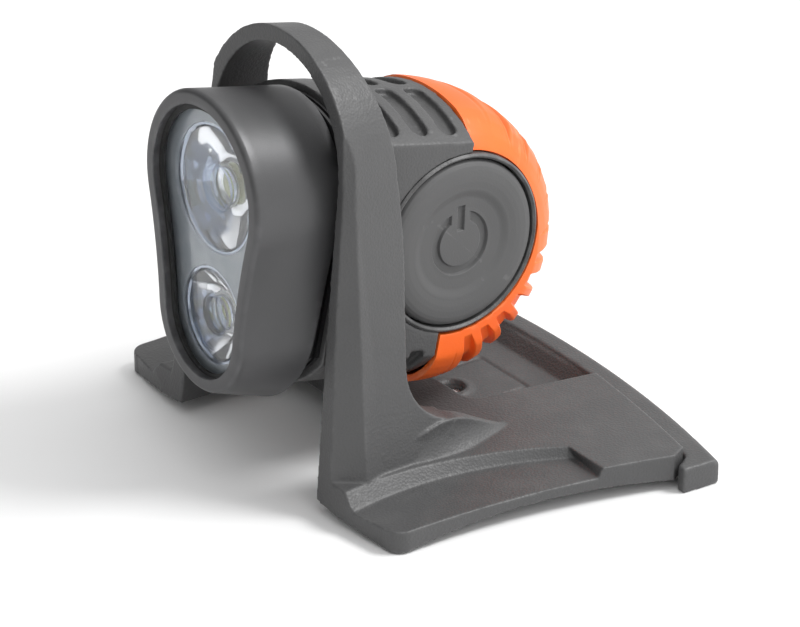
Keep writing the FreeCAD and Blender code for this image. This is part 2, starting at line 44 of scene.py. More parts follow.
relaxShare = 0.6   # how far one round moves a point towards its neighbours' middle
smoothAll = 180   # crease angle that leaves no edge sharp
print("frame loaded:", len(frame["nodes"]), "nodes")

# where the lamp sits in the bracket, and how its front face leans against its body
lampPose = {"pitch": 12.2, "rake": 9.8, "axisY": 3.6, "axisZ": 33.7}
lampPlace = (Matrix.Translation((0, lampPose["axisY"] * mm, lampPose["axisZ"] * mm))
             @ Matrix.Rotation(math.radians(-lampPose["pitch"]), 4, "X"))
rakeTurn = Matrix.Rotation(math.radians(lampPose["rake"]), 4, "X")


# ---- mesh helpers

def addObject(name, data):
    piece = bpy.data.objects.new(name, data)
    bpy.context.scene.collection.objects.link(piece)
    return piece


def meshFrom(name, points, faces, place=None):
    mesh = bpy.data.meshes.new(name)
    mesh.from_pydata([tuple(p) for p in points], [], faces)
    mesh.validate()
    mesh.transform(Matrix.Scale(mm, 4))
    if place is not None:
        mesh.transform(place)
    work = bmesh.new()
    work.from_mesh(mesh)
    bmesh.ops.remove_doubles(work, verts=work.verts, dist=weldGap)
    bmesh.ops.recalc_face_normals(work, faces=work.faces)
    work.to_mesh(mesh)
    work.free()
    return mesh


def smoothShade(piece, crease):
    piece.data.polygons.foreach_set("use_smooth", [True] * len(piece.data.polygons))
    piece.data.set_sharp_from_angle(angle=math.radians(crease))


def settle(piece, body, slotName, nodes, crease):
    # gives a finished piece its look, its body and the CAD nodes that it stands for
    piece.data.materials.clear()
    piece.data.materials.append(finishes[slotName])
    smoothShade(piece, crease)
    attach(piece, body)
    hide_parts(*nodes)
    return piece


def ringsToFaces(ringCount, perRing, closed=True):
    faces = []
    last = ringCount if closed else ringCount - 1
    for i in range(last):
        a, b = i * perRing, ((i + 1) % ringCount) * perRing
        for j in range(perRing):
            k = (j + 1) % perRing
            faces.append((a + j, a + k, b + k, b + j))
    return faces


def lathe(name, profile, steps, place, facets=12):
    # profile: (distance along the axis, radius, share of faceting), turned about the local Y axis;
    # one that starts on the axis is left open there, and any other is joined end to end
    points = []
    for along, radius, share in profile:
        for j in range(steps):
            turn = 2 * math.pi * j / steps
            corner = turn % (2 * math.pi / facets) - math.pi / facets
            flat = math.cos(math.pi / facets) / math.cos(corner)
            r = radius * (1 + share * (flat - 1))
            points.append((r * math.sin(turn), along, r * math.cos(turn)))
    faces = ringsToFaces(len(profile), steps, closed=profile[0][1] > 0)
    return meshFrom(name, points, faces, place)


def relaxMesh(mesh, rounds):
    # pulls each point towards the middle of its neighbours
    count = len(mesh.vertices)
    co = np.empty(count * 3)
    mesh.vertices.foreach_get("co", co)
    co = co.reshape(-1, 3)
    edges = np.empty(len(mesh.edges) * 2, int)
    mesh.edges.foreach_get("vertices", edges)
    a, b = edges.reshape(-1, 2).T
    degree = np.bincount(a, minlength=count) + np.bincount(b, minlength=count)
    for _ in range(rounds):
        total = np.zeros_like(co)
        for k in range(3):
            total[:, k] = np.bincount(a, co[b, k], count) + np.bincount(b, co[a, k], count)
        co += relaxShare * (total / np.maximum(degree, 1)[:, None] - co)
    mesh.vertices.foreach_set("co", co.ravel())
    mesh.update()


def applyModifiers(piece):
    graph = bpy.context.evaluated_depsgraph_get()
    done = bpy.data.meshes.new_from_object(piece.evaluated_get(graph))
    piece.modifiers.clear()
    before = piece.data
    piece.data = done
    bpy.data.meshes.remove(before)


def joinMeshes(name, meshes):
    work = bmesh.new()
    for mesh in meshes:
        work.from_mesh(mesh)
        bpy.data.meshes.remove(mesh)
    joined = bpy.data.meshes.new(name)
    work.to_mesh(joined)
    work.free()
    return joined


def mouldedCopy(nodeName, voxel, rounds):
    # a cast or moulded version of a CAD shape, with its edges softened
    mesh = frame["nodes"][nodeName].data.copy()
    work = bmesh.new()
    work.from_mesh(mesh)
    bmesh.ops.remove_doubles(work, verts=work.verts, dist=10 * weldGap)
    work.to_mesh(mesh)
    work.free()
    piece = addObject(nodeName + "Moulded", mesh)
    remesh = piece.modifiers.new("remesh", "REMESH")
    remesh.mode = "VOXEL"
    remesh.voxel_size = voxel * mm
    applyModifiers(piece)
    relaxMesh(piece.data, rounds)
    return piece


# ---- shader groups shared by several materials

def newGroup(name, inputs, outputs):
    group = bpy.data.node_groups.new(name, "ShaderNodeTree")
    for label, value in inputs.items():
        socket = group.interface.new_socket(label, in_out="INPUT", socket_type="NodeSocketFloat")
        socket.default_value = value
    for label, kind in outputs.items():
        group.interface.new_socket(label, in_out="OUTPUT", socket_type=kind)
    return group, group.nodes.new("NodeGroupInput"), group.nodes.new("NodeGroupOutput")


def mathNode(tree, operation, *values):
    node = tree.nodes.new("ShaderNodeMath")
    node.operation = operation
    for i, value in enumerate(values):
        if isinstance(value, (int, float)):
            node.inputs[i].default_value = value
        else:
            tree.links.new(value, node.inputs[i])
    return node.outputs[0]


def textureAt(tree, kind, scale, **settings):
    place = tree.nodes.new("ShaderNodeTexCoord")
    node = tree.nodes.new(kind)
    tree.links.new(place.outputs["Object"], node.inputs["Vector"])
    if isinstance(scale, (int, float)):
        node.inputs["Scale"].default_value = scale
    else:
        tree.links.new(scale, node.inputs["Scale"])
    for label, value in settings.items():
        node.inputs[label].default_value = value
    return node


def rampNode(tree, source, low, high):
    node = tree.nodes.new("ShaderNodeMapRange")
    tree.links.new(source, node.inputs["Value"])
    node.inputs["From Min"].default_value = low
    node.inputs["From Max"].default_value = high
    return node.outputs["Result"]


# scales are in cells per metre, and each ramp's pair is where it starts and ends
effectShape = {"fineRatio": 2.7, "broadScale": 60.0, "toneRamp": (0.35, 0.65), "cornerRamp": (0.505, 0.56),
               "patchScale": 420.0, "patchRamp": (0.38, 0.68), "upwardRamp": (0.2, 1.0), "cloudScale": 240.0,
               "cloudRamp": (0.45, 0.8), "lineStretch": (0.05, 1.0, 0.05), "dustColour": (0.42, 0.41, 0.39),
               "smearScale": 160.0, "smearStart": 0.5, "smearSpread": 0.05}


def buildGrain():
    # leathery moulding grain: cells with fine noise on top
    e = effectShape
    group, given, made = newGroup("mouldGrain", {"Scale": 1800.0, "Fine": 0.35},
                                  {"Height": "NodeSocketFloat", "Tone": "NodeSocketFloat"})
    cells = textureAt(group, "ShaderNodeTexVoronoi", given.outputs["Scale"])
    fineScale = mathNode(group, "MULTIPLY", given.outputs["Scale"], e["fineRatio"])
    fine = textureAt(group, "ShaderNodeTexNoise", fineScale, Detail=2.0)
    fineHeight = mathNode(group, "MULTIPLY", fine.outputs["Fac"], given.outputs["Fine"])
    height = mathNode(group, "ADD", cells.outputs["Distance"], fineHeight)
    broad = textureAt(group, "ShaderNodeTexNoise", e["broadScale"], Detail=3.0)
    group.links.new(height, made.inputs["Height"])
    group.links.new(broad.outputs["Fac"], made.inputs["Tone"])
    return group


def buildWear():
    # rubbed edges: outward corners broken up by noise
    e = effectShape
    group, given, made = newGroup("edgeWear", {"Amount": 0.5}, {"Mask": "NodeSocketFloat"})
    shape = group.nodes.new("ShaderNodeNewGeometry")
    corner = rampNode(group, shape.outputs["Pointiness"], *e["cornerRamp"])
    patches = textureAt(group, "ShaderNodeTexNoise", e["patchScale"], Detail=4.0)
    broken = rampNode(group, patches.outputs["Fac"], *e["patchRamp"])
    worn = mathNode(group, "MULTIPLY", corner, broken)
    group.links.new(mathNode(group, "MULTIPLY", worn, given.outputs["Amount"]), made.inputs["Mask"])
    return group


def buildDust():
    # thin dust that lies on faces that look up
    e = effectShape
    group, given, made = newGroup("fineDust", {"Amount": 0.2}, {"Mask": "NodeSocketFloat"})
    shape = group.nodes.new("ShaderNodeNewGeometry")
    split = group.nodes.new("ShaderNodeSeparateXYZ")
    group.links.new(shape.outputs["Normal"], split.inputs[0])
    upward = rampNode(group, split.outputs["Z"], *e["upwardRamp"])
    clouds = textureAt(group, "ShaderNodeTexNoise", e["cloudScale"], Detail=6.0)
    broken = rampNode(group, clouds.outputs["Fac"], *e["cloudRamp"])
    lying = mathNode(group, "MULTIPLY", upward, broken)
    group.links.new(mathNode(group, "MULTIPLY", lying, given.outputs["Amount"]), made.inputs["Mask"])
    return group


def buildBrushed():
    # fine turned or brushed lines that vary along one direction
    group, given, made = newGroup("fineLines", {"Scale": 900.0}, {"Height": "NodeSocketFloat"})
    place = group.nodes.new("ShaderNodeTexCoord")
    stretch = group.nodes.new("ShaderNodeMapping")
    stretch.inputs["Scale"].default_value = effectShape["lineStretch"]
    group.links.new(place.outputs["Object"], stretch.inputs["Vector"])
    lines = group.nodes.new("ShaderNodeTexNoise")
    group.links.new(stretch.outputs["Vector"], lines.inputs["Vector"])
    group.links.new(given.outputs["Scale"], lines.inputs["Scale"])
    group.links.new(lines.outputs["Fac"], made.inputs["Height"])
    return group


grainGroup, wearGroup, dustGroup, linesGroup = buildGrain(), buildWear(), buildDust(), buildBrushed()


def placeGroup(tree, group, **values):
    node = tree.nodes.new("ShaderNodeGroup")
    node.node_tree = group
    for label, value in values.items():
        node.inputs[label].default_value = value
    return node


def mixColours(tree, factor, first, second):
    node = tree.nodes.new("ShaderNodeMix")
    node.data_type = "RGBA"
    tree.links.new(factor, node.inputs["Factor"])
    for socket, value in ((node.inputs[6], first), (node.inputs[7], second)):
        if isinstance(value, tuple):
            socket.default_value = (*value, 1.0)
        else:
            tree.links.new(value, socket)
    return node.outputs[2]


def shadeMaterial(name, colour, darker, lighter, rough, roughSpread=0.08, grain=1800.0, bump=0.15,
                  depth=0.00005, wear=0.3, dust=0.15, lines=False, **fixed):
    # one surface recipe: toned colour, worn edges, dust, grain in the normal, and the shader's own constants
    material = bpy.data.materials.new(name)
    material.use_nodes = True
    tree = material.node_tree
    shader = tree.nodes["Principled BSDF"]
    for label, value in fixed.items():
        shader.inputs[label].default_value = value
    grainNode = placeGroup(tree, grainGroup, Scale=grain)
    tone = rampNode(tree, grainNode.outputs["Tone"], *effectShape["toneRamp"])
    body = mixColours(tree, tone, darker, colour)
    worn = mixColours(tree, placeGroup(tree, wearGroup, Amount=wear).outputs["Mask"], body, lighter)
    dustMask = placeGroup(tree, dustGroup, Amount=dust).outputs["Mask"]
    dusty = mixColours(tree, dustMask, worn, effectShape["dustColour"])
    tree.links.new(dusty, shader.inputs["Base Color"])
    spread = tree.nodes.new("ShaderNodeMapRange")
    tree.links.new(grainNode.outputs["Tone"], spread.inputs["Value"])
    spread.inputs["To Min"].default_value = rough - roughSpread / 2
    spread.inputs["To Max"].default_value = rough + roughSpread / 2
    tree.links.new(spread.outputs["Result"], shader.inputs["Roughness"])
    bumpNode = tree.nodes.new("ShaderNodeBump")
    bumpNode.inputs["Strength"].default_value = bump
    bumpNode.inputs["Distance"].default_value = depth
    source = placeGroup(tree, linesGroup) if lines else grainNode
    tree.links.new(source.outputs["Height"], bumpNode.inputs["Height"])
    tree.links.new(bumpNode.outputs["Normal"], shader.inputs["Normal"])
    return material


def clearMaterial(name, colour, alpha, rough, ior):
    # clear plastic or glass with faint smears in its roughness
    e = effectShape
    material = bpy.data.materials.new(name)
    material.use_nodes = True
    tree = material.node_tree
    shader = tree.nodes["Principled BSDF"]
    shader.inputs["Base Color"].default_value = (*colour, 1.0)
    shader.inputs["Transmission Weight"].default_value = 1.0
    shader.inputs["IOR"].default_value = ior
    shader.inputs["Alpha"].default_value = alpha
    smears = textureAt(tree, "ShaderNodeTexNoise", e["smearScale"], Detail=4.0)
    spread = tree.nodes.new("ShaderNodeMapRange")
    tree.links.new(smears.outputs["Fac"], spread.inputs["Value"])
    spread.inputs["From Min"].default_value = e["smearStart"]
    spread.inputs["To Min"].default_value = rough
    spread.inputs["To Max"].default_value = rough + e["smearSpread"]
    tree.links.new(spread.outputs["Result"], shader.inputs["Roughness"])
    return material


# each finish: colour, its darker and its worn tone, roughness, then what differs from the usual recipe
finishes = {
    "grey_plastic": shadeMaterial(
        "mouldedGrey", (0.072, 0.072, 0.073), (0.064, 0.064, 0.065), (0.24, 0.24, 0.24), 0.46,
        bump=0.6, depth=0.00007, grain=2500.0, wear=0.3, dust=0.04),
    "orange_plastic": shadeMaterial(
        "gripOrange", (0.95, 0.15, 0.012), (0.88, 0.12, 0.008), (1.0, 0.34, 0.13), 0.42,
        bump=0.2, grain=2600.0, wear=0.35, dust=0.03),
    "black_plastic": shadeMaterial(
        "satinBlack", (0.016, 0.016, 0.017), (0.01, 0.01, 0.011), (0.05, 0.05, 0.05), 0.4,
        bump=0.2, grain=2600.0, wear=0.15, dust=0.03),
    "anodised": shadeMaterial(
        "darkAnodised", (0.085, 0.085, 0.088), (0.078, 0.078, 0.08), (0.24, 0.24, 0.25), 0.42,
        roughSpread=0.05, bump=0.35, depth=0.00002, grain=4200.0, wear=0.3, dust=0.02, Metallic=0.5),
    "bare_aluminium": shadeMaterial(
        "machinedAlloy", (0.62, 0.62, 0.64), (0.52, 0.52, 0.54), (0.8, 0.8, 0.82), 0.34,
        bump=0.3, depth=0.00002, lines=True, Metallic=1.0, dust=0.0),
    "plate_grey": shadeMaterial(
        "satinPlate", (0.27, 0.3, 0.325), (0.23, 0.26, 0.285), (0.4, 0.42, 0.45), 0.42,
        bump=0.15, depth=0.00001, grain=5000.0, Metallic=0.35, dust=0.0),
    # mirror_coat: painted shade, the mirror's colour is dimmed to a dark blue-grey so that its reflections
    # come out dark
    "mirror_coat": shadeMaterial(
        "mirrorCoatPaintedShade", (0.36, 0.41, 0.5), (0.3, 0.35, 0.43), (0.6, 0.63, 0.7), 0.06,
        roughSpread=0.04, bump=0.08, depth=0.00001, grain=900.0, Metallic=1.0, dust=0.0),
    "seal_rubber": shadeMaterial(
        "sealRubber", (0.012, 0.012, 0.012), (0.008, 0.008, 0.008), (0.04, 0.04, 0.04), 0.62,
        bump=0.25, dust=0.04),
    "button_rubber": shadeMaterial(
        "buttonRubber", (0.088, 0.088, 0.089), (0.08, 0.08, 0.081), (0.27, 0.27, 0.27), 0.58,
        bump=0.3, depth=0.00003, grain=3600.0, wear=0.2, dust=0.05),
    "phosphor": shadeMaterial(
        "phosphor", (0.82, 0.82, 0.36), (0.7, 0.72, 0.28), (0.9, 0.9, 0.6), 0.5,
        bump=0.4, grain=3000.0, wear=0.0, dust=0.0),
    "board_green": shadeMaterial(
        "solderMask", (0.02, 0.16, 0.07), (0.015, 0.12, 0.05), (0.3, 0.4, 0.2), 0.35,
        bump=0.2, dust=0.0),
    "board_white": shadeMaterial(
        "whiteBoard", (0.75, 0.76, 0.78), (0.7, 0.71, 0.72), (0.85, 0.85, 0.85), 0.4,
        dust=0.0),
    "steel": shadeMaterial(
        "platedSteel", (0.5, 0.5, 0.52), (0.42, 0.42, 0.44), (0.7, 0.7, 0.72), 0.3,
        bump=0.25, depth=0.00002, lines=True, Metallic=1.0, dust=0.0),
    "spring_brass": shadeMaterial(
        "goldPlate", (0.75, 0.55, 0.2), (0.62, 0.44, 0.15), (0.9, 0.75, 0.4), 0.28,
        bump=0.2, depth=0.00002, lines=True, Metallic=1.0, dust=0.0),
    "cell_wrap": shadeMaterial(
        "cellSleeve", (0.03, 0.08, 0.2), (0.02, 0.06, 0.16), (0.2, 0.25, 0.35), 0.25,
        dust=0.0, **{"Coat Weight": 0.4}),
    "window_clear": clearMaterial("windowClear", (0.97, 0.985, 1.0), 0.12, 0.0, 1.45),
    "optic_clear": clearMaterial("opticClear", (0.93, 0.96, 1.0), 1.0, 0.0, 1.49),
}

slotOf = {entry["node"]: entry["material_slot"] for entry in frame["record"]["subparts"]}
for nodeName, node in frame["nodes"].items():
    if not node.material_slots:
        node.data.materials.append(None)
    for place in node.material_slots:
        place.material = finishes[slotOf[nodeName]]
print("materials placed")


# ---- bezel: a pear-shaped front lofted back to a fuller outline

bezelShape = {"faceY": -36.5, "backY": -23.5,
              "frontCircles": ((10.85, 15.0), (-9.17, 11.3)), "frontWaist": 95.0,
              "rearCircles": ((4.6, 15.0), (-12.9, 14.3)), "rearWaist": 600.0,
              "lip": 2.2, "lipDepth": 1.1, "lipRound": 0.12, "wall": 1.6, "round": 0.8, "backRound": 0.35,
              "roundSteps": 6, "sideSteps": 12, "sideEnd": 0.975, "backStart": (0.1, 0.992),
              "samples": (84, 44, 72, 44), "crease": 28}


def arcPoints(centre, start, end, count, through):
    # points from start towards end, round the side that the through point is on; the end is left out
    a0 = math.atan2(start[1] - centre[1], start[0] - centre[0])
    a1 = math.atan2(end[1] - centre[1], end[0] - centre[0])
    am = math.atan2(through[1] - centre[1], through[0] - centre[0])
    while a1 < a0:
        a1 += 2 * math.pi
    while am < a0:
        am += 2 * math.pi
    if am > a1:
        a1 -= 2 * math.pi
    radius = math.hypot(start[0] - centre[0], start[1] - centre[1])
    return [(centre[0] + radius * math.cos(a0 + (a1 - a0) * i / count),
             centre[1] + radius * math.sin(a0 + (a1 - a0) * i / count)) for i in range(count)]


def pearLoop(circles, waist, inset, samples):
    # closed loop of (x, z): over the top, down one side, under, and up the other side
    (upZ, upR), (lowZ, lowR) = circles
    upR, lowR, waistR = upR - inset, lowR - inset, waist + inset
    gap = upZ - lowZ
    a, b = upR + waistR, lowR + waistR
    down = (a * a - b * b + gap * gap) / (2 * gap)
    hub = (math.sqrt(a * a - down * down), upZ - down)
    pUp = (hub[0] * upR / a, upZ + (hub[1] - upZ) * upR / a)
    pLow = (hub[0] * lowR / b, lowZ + (hub[1] - lowZ) * lowR / b)
    middle = ((pUp[0] + pLow[0]) / 2, (pUp[1] + pLow[1]) / 2)
    left = lambda p: (-p[0], p[1])
    loop = arcPoints((0, upZ), left(pUp), pUp, samples[0], (0, upZ + upR))
    loop += arcPoints(hub, pUp, pLow, samples[1], middle)
    loop += arcPoints((0, lowZ), pLow, left(pLow), samples[2], (0, lowZ - lowR))
    loop += arcPoints(left(hub), left(pLow), left(pUp), samples[3], left(middle))
    return loop


def bezelRing(inset, depth, share):
    # depth: behind the front face; share: how far along the loft towards the back, 0 to 1
    s = bezelShape
    front = [rakeTurn @ Vector((x, s["faceY"] + depth, z))
             for x, z in pearLoop(s["frontCircles"], s["frontWaist"], inset, s["samples"])]
    rear = [Vector((x, s["backY"], z))
            for x, z in pearLoop(s["rearCircles"], s["rearWaist"], inset, s["samples"])]
    return [f.lerp(r, share) for f, r in zip(front, rear)]


def buildBezel():
    s = bezelShape
    # the lip's inner wall and its soft corner, then the flat rim
    rings = [bezelRing(s["lip"], s["lipDepth"], 0.0), bezelRing(s["lip"], s["lipRound"], 0.0),
             bezelRing(s["lip"] - s["lipRound"], 0.0, 0.0), bezelRing((s["lip"] + s["round"]) / 2, 0.0, 0.0)]
    for i in range(s["roundSteps"] + 1):
        turn = math.pi / 2 * i / s["roundSteps"]
        rings.append(bezelRing(s["round"] * (1 - math.sin(turn)), s["round"] * (1 - math.cos(turn)), 0.0))
    # the long side, the back edge and the inner wall
    for i in range(1, s["sideSteps"] + 1):
        part = i / s["sideSteps"]
        rings.append(bezelRing(0.0, s["round"] * (1 - part), part * s["sideEnd"]))
    rings.append(bezelRing(s["backStart"][0], 0.0, s["backStart"][1]))
    rings.append(bezelRing(s["backRound"], 0.0, 1.0))
    rings.append(bezelRing(s["wall"], 0.0, 1.0))
    rings.append(bezelRing(s["wall"], s["lipDepth"], 0.5))
    rings.append(bezelRing(s["wall"], s["lipDepth"], 0.0))
    points = [p for ring in rings for p in ring]
    mesh = meshFrom("bezelShell", points, ringsToFaces(len(rings), len(rings[0])), lampPlace)
    return settle(addObject("bezelShell", mesh), "lamp", "anodised", ["bezel"], s["crease"])


buildBezel()
print("bezel built")


# ---- optics: faceted bowls, clear collimators with a sunk eye, and the light sources behind them

opticShape = {"frontY": -33.65, "backY": -29.1, "cupY": -31.15, "boardY": -28.8, "backR": 3.2, "skin": 0.35,
              "throat": 3.75, "rimY": -33.85, "steps": 120, "bowlSteps": 8, "plainRim": 0.9, "rimRoom": 0.75,
              "sideCurve": 0.8, "eyeDepth": 1.35, "domeRoom": 0.15, "domeRise": 1.5, "baseThick": 0.7,
              "domeSteps": 12, "lightSteps": 48, "bowlCrease": 14, "clearCrease": 25, "lightCrease": 40,
              "cupCurve": ((0.0, 0.0), (0.1, 0.7), (0.3, 1.0)),
              "eyeCurve": ((0.0, 0.94), (0.25, 0.5), (0.3, 0.0))}
opticSizes = {"large": {"z": 10.85, "r": 9.75, "eye": 3.7, "cup": 2.9, "base": 3.5, "facets": 14},
              "small": {"z": -9.17, "r": 7.45, "eye": 3.2, "cup": 2.7, "base": 3.0, "facets": 12}}


def buildBowl(size, o, place):
    # a faceted skin that opens forward, with a plain round rim
    s = opticShape
    outer, inner = [], []
    for i in range(s["bowlSteps"] + 1):
        t = i / s["bowlSteps"]
        facet = 1.0 if t < s["plainRim"] else 0.0
        y = s["backY"] + (s["rimY"] - s["backY"]) * t
        r = s["throat"] + (o["r"] - s["throat"]) * math.sqrt(t)
        outer.append((y, r, facet))
        inner.append((y, r - s["skin"], facet))
    mesh = lathe(size + "Bowl", outer + inner[::-1], s["steps"], place, o["facets"])
    settle(addObject(size + "Bowl", mesh), "lamp", "mirror_coat", [size + "_reflector"], s["bowlCrease"])


def buildCollimator(size, o, place):
    # from the cup over the light source, out along the side, across the front and into the eye
    s = opticShape
    eyeY, widest = s["frontY"] + s["eyeDepth"], o["r"] - s["rimRoom"]
    profile = [(s["cupY"] + back, o["cup"] * share, 0) for back, share in s["cupCurve"]]
    profile.append((s["backY"], o["cup"], 0))
    for i in range(s["bowlSteps"] + 1):
        t = i / s["bowlSteps"]
        profile.append((s["backY"] + (s["frontY"] - s["backY"]) * t,
                        s["backR"] + (widest - s["backR"]) * t ** s["sideCurve"], 0.0))
    profile.append((s["frontY"], o["eye"], 0))
    profile += [(eyeY - rise, o["eye"] * share, 0) for rise, share in s["eyeCurve"]]
    mesh = lathe(size + "Collimator", profile, s["steps"], place)
    settle(addObject(size + "Collimator", mesh), "lamp", "optic_clear", [size + "_optic"], s["clearCrease"])


def buildLight(size, o, place):
    # a dome on a square base
    s = opticShape
    domeR, domeY = o["cup"] - s["domeRoom"], s["boardY"] - s["baseThick"]
    dome = [(domeY, 0.0, 0)]
    for i in range(s["domeSteps"] + 1):
        turn = math.pi / 2 * i / s["domeSteps"]
        dome.append((domeY - s["domeRise"] * math.sin(turn), domeR * math.cos(turn), 0))
    square = Matrix.Rotation(math.radians(45), 4, "Y")
    half = o["base"] / math.sqrt(2)
    base = [(s["boardY"], 0.0, 0), (s["boardY"], half, 0), (domeY, half, 0), (domeY, 0.0, 0)]
    mesh = joinMeshes(size + "Light", [lathe(size + "Dome", dome, s["lightSteps"], place),
                                       lathe(size + "Base", base, 4, place @ square)])
    settle(addObject(size + "Light", mesh), "lamp", "phosphor", [size + "_led"], s["lightCrease"])


for size, measures in opticSizes.items():
    opticPlace = lampPlace @ rakeTurn @ Matrix.Translation((0, 0, measures["z"] * mm))
    buildBowl(size, measures, opticPlace)
    buildCollimator(size, measures, opticPlace)
    buildLight(size, measures, opticPlace)
print("optics built")


# ---- grip cap: ribs and pockets around a rounded barrel

capShape = {"hubY": -0.5, "hubZ": -2.75, "crown": 22.8, "side": 15.6, "halfWidth": 14.25, "frontY": -0.62,
            "flatHalf": 8.0, "flatDrop": 1.1, "buttonClear": 14.32, "search": 0.02, "wallGap": 0.05,
            "wall": 1.0, "edge": 0.25, "across": 120, "down": 8, "around": 560, "soften": 2, "crease": 50,
            "shoulder": ((8.0, -1.1), (10.0, -2.05), (12.0, -3.7), (13.3, -5.35), (14.25, -7.2))}

# pockets: angles in degrees from the top of the barrel, shares of one pocket's pitch, depths in millimetres
pocketShape = {"pitch": 13.1, "phase": 6.0, "topDepth": 0.8, "lowDepth": 1.6, "sideDepth": 0.9,
               "sideFrom": (12.4, 13.4), "lipWidth": 1.4, "topReach": 12.4, "moreReach": 6.0,
               "squareFrom": (62, 112), "starts": (12, 20), "ends": (160, 168), "half": 0.33,
               "soft": 0.16, "lessSoft": 0.07, "past": 0.02, "rimHeight": 0.1, "rimWidth": 0.05}


def capRadius(x):
    # profile of the barrel across its width: flat crown, full shoulders
    s = capShape
    ax = abs(x)
    crownR = (s["flatHalf"] ** 2 + s["flatDrop"] ** 2) / (2 * s["flatDrop"])
    if ax <= s["flatHalf"]:
        return s["crown"] - crownR + math.sqrt(crownR ** 2 - ax ** 2)
    for (x0, d0), (x1, d1) in zip(s["shoulder"], s["shoulder"][1:]):
        if ax <= x1 + slack:
            return s["crown"] + d0 + (d1 - d0) * (ax - x0) / (x1 - x0)
    return s["side"]


def smoothStep(low, high, value):
    t = min(max((value - low) / (high - low), 0.0), 1.0)
    return t * t * (3 - 2 * t)


def capDip(x, angle, room):
    # depth of the pocket at this place: leaf-shaped on top, squarer and open at the sides further down
    p = pocketShape
    off = abs(((angle - p["phase"]) / p["pitch"]) % 1.0 - 0.5)
    lower = smoothStep(*p["squareFrom"], angle)
    along = min(abs(x) / (p["topReach"] + p["moreReach"] * lower), 1.0)
    leaf, square = 1 - along ** 2, max(1 - along ** 8, 0.0) ** 0.5
    half = p["half"] * (leaf + (square - leaf) * lower)
    soft = p["soft"] - p["lessSoft"] * lower
    inside = 1 - smoothStep(half - soft, half + p["past"], off)
    swell = math.exp(-((off - half - p["rimWidth"]) / p["rimWidth"]) ** 2)
    rim = p["rimHeight"] * (1 - lower) * swell * (along < 1)
    start = smoothStep(*p["starts"], angle) * (1 - smoothStep(*p["ends"], angle))
    depth = p["topDepth"] + (p["lowDepth"] - p["topDepth"]) * lower
    depth += p["sideDepth"] * lower * smoothStep(*p["sideFrom"], abs(x))
    return start * (min(inside * depth, max(room - p["lipWidth"], 0.0)) - rim)


def buildCap():
    s = capShape
    place = lampPlace @ Matrix.Translation((0, s["hubY"] * mm, s["hubZ"] * mm))
    first = math.asin((s["frontY"] - s["hubY"]) / s["crown"])
    span = math.pi - 2 * first
    points, faces = [], []
    for j in range(s["around"] + 1):
        angle = first + span * j / s["around"]
        degrees = math.degrees(angle)
        reach = s["halfWidth"]
        clear = lambda r: math.hypot(s["hubY"] + r * math.sin(angle), s["hubZ"] + r * math.cos(angle))
        while clear(capRadius(reach)) < s["buttonClear"]:
            reach -= s["search"]
        edgeR = capRadius(reach)
        edgeR -= capDip(reach, degrees, clear(edgeR) - s["buttonClear"])
        wallR = edgeR
        while clear(wallR - s["search"]) > s["buttonClear"]:
            wallR -= s["search"]
        wallR -= s["wallGap"]
        row = []
        for i in range(s["across"] + 1):
            x = -reach + 2 * reach * i / s["across"]
            r = capRadius(x)
            r -= capDip(x, degrees, clear(r) - s["buttonClear"])
            row.append((x, r * math.sin(angle), r * math.cos(angle)))
        for i in range(1, s["down"] + 1):
            r = edgeR + (wallR - edgeR) * i / s["down"]
            row.insert(0, (-reach, r * math.sin(angle), r * math.cos(angle)))
            row.append((reach, r * math.sin(angle), r * math.cos(angle)))
        points += row
    row = s["across"] + 1 + 2 * s["down"]
    for j in range(s["around"]):
        for i in range(row - 1):
            a = j * row + i
            faces.append((a, a + 1, a + row + 1, a + row))
    mesh = meshFrom("gripCap", points, faces, place)
    relaxMesh(mesh, s["soften"])
    piece = addObject("gripCap", mesh)
    shell = piece.modifiers.new("shell", "SOLIDIFY")
    shell.thickness = s["wall"] * mm
    shell.offset = -1.0
    edge = piece.modifiers.new("edge", "BEVEL")
    edge.width = s["edge"] * mm
    edge.segments = 2
    edge.limit_method = "ANGLE"
    edge.angle_limit = math.radians(s["crease"])
    applyModifiers(piece)
    return settle(piece, "cap", "orange_plastic", ["rear_cap"], s["crease"])


buildCap()
print("cap built")


# ---- power button: dished disc with a sunk power sign

buttonShape = {"radius": 13.0, "faceX": 14.8, "backX": 12.35, "rings": 150, "steps": 320, "ringR": 4.35,
               "ringHalf": 0.65, "gapHalf": 1.75, "barHalf": 0.6, "barLow": 2.0, "barHigh": 5.9,
               "signDepth": 0.5, "signEdge": (-0.14, 0.1), "signReach": 7.0, "roundedFrom": (7.0, 8.8),
               "backRing": 0.5, "crease": 40,
               "dish": ((0, -0.7), (5.6, -0.7), (7.0, -0.6), (8.8, -0.16), (9.8, -0.03), (10.6, 0.0),
                        (11.6, -0.05), (12.2, -0.18), (12.7, -0.5), (13.0, -1.1))}


def signDistance(y, z):
    # distance to the power sign's outline, negative inside it
    s = buttonShape
    r = math.hypot(y, z)
    ring = abs(r - s["ringR"]) - s["ringHalf"]
    slot = s["gapHalf"] - abs(y) if z > 0 else -1.0
    ring = max(ring, slot)
    barMiddle, barReach = (s["barLow"] + s["barHigh"]) / 2, (s["barHigh"] - s["barLow"]) / 2
    bar = max(abs(y) - s["barHalf"], abs(z - barMiddle) - barReach)
    return min(ring, bar)


def buttonDish(r):
    # height of the face below its highest ring, by radius
    knots, (low, high) = buttonShape["dish"], buttonShape["roundedFrom"]
    for (r0, h0), (r1, h1) in zip(knots, knots[1:]):
        if r <= r1 + slack:
            t = (r - r0) / (r1 - r0)
            return h0 + (h1 - h0) * (t * t * (3 - 2 * t) if low <= r < high else t)
    return knots[-1][1]


